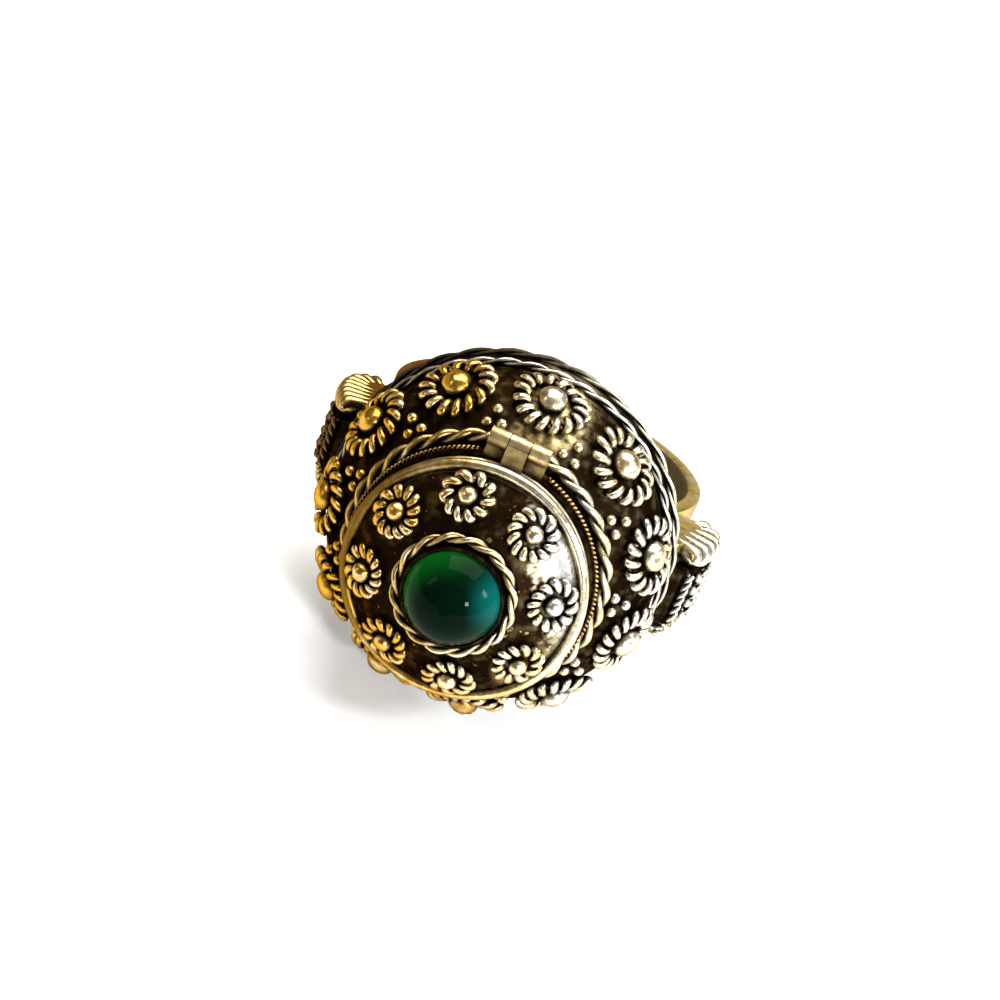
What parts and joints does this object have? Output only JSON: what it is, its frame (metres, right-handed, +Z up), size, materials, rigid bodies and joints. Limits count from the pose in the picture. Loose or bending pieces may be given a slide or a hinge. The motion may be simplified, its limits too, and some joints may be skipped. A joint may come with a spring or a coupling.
{
  "type": "poison ring",
  "caption": "Gilt finger ring with a tall granulated round box, whose domed lid with a green cabochon opens on a small barrel hinge.",
  "frame": {"origin": "centre of the footprint on the surface the ring lies on, at the lowest point", "axes": "+Z up, +Y along the ring from the stone to the foot of the hoop, +X across the two shoulders"},
  "size_m": [0.024, 0.0336, 0.0201],
  "materials": {
    "band_gold": "polished gilt, worn",
    "box_gold": "gilt, darkened in the recesses",
    "rope_gold": "gilt wire, dark between the strands",
    "grain_gold": "bright gilt, dark at the foot",
    "pin_silver": "worn silver",
    "green_stone": "polished deep green"
  },
  "bodies": {
    "ring": {"shank": "band_gold", "box": "box_gold", "low_rope": "rope_gold", "high_rope": "rope_gold", "collar_rope": "rope_gold", "milled_wire": "rope_gold", "grains": "grain_gold", "hinge_pin": "pin_silver", "edge_rope_1": "rope_gold", "edge_rope_2": "rope_gold", "edge_rope_3": "rope_gold", "edge_rope_4": "rope_gold", "panel_left": "grain_gold", "panel_right": "grain_gold", "rosette_1": "grain_gold", "rosette_2": "grain_gold", "rosette_3": "grain_gold", "rosette_4": "grain_gold", "rosette_5": "grain_gold", "rosette_6": "grain_gold", "rosette_7": "grain_gold", "rosette_8": "grain_gold", "rosette_9": "grain_gold", "rosette_10": "grain_gold", "rosette_11": "grain_gold"},
    "lid": {"lid": "box_gold", "bezel": "band_gold", "bezel_rope": "rope_gold", "stone": "green_stone", "lid_rosette_1": "grain_gold", "lid_rosette_2": "grain_gold", "lid_rosette_3": "grain_gold", "lid_rosette_4": "grain_gold", "lid_rosette_5": "grain_gold", "lid_rosette_6": "grain_gold", "lid_rosette_7": "grain_gold", "lid_rosette_8": "grain_gold"}
  },
  "joints": [
    {"name": "lid_hinge", "type": "hinge", "parent": "ring", "child": "lid", "pos_m": [0, -0.00876, 0.01929], "axis": [-1, 0, 0], "range_deg": [0, 105]}
  ]
}
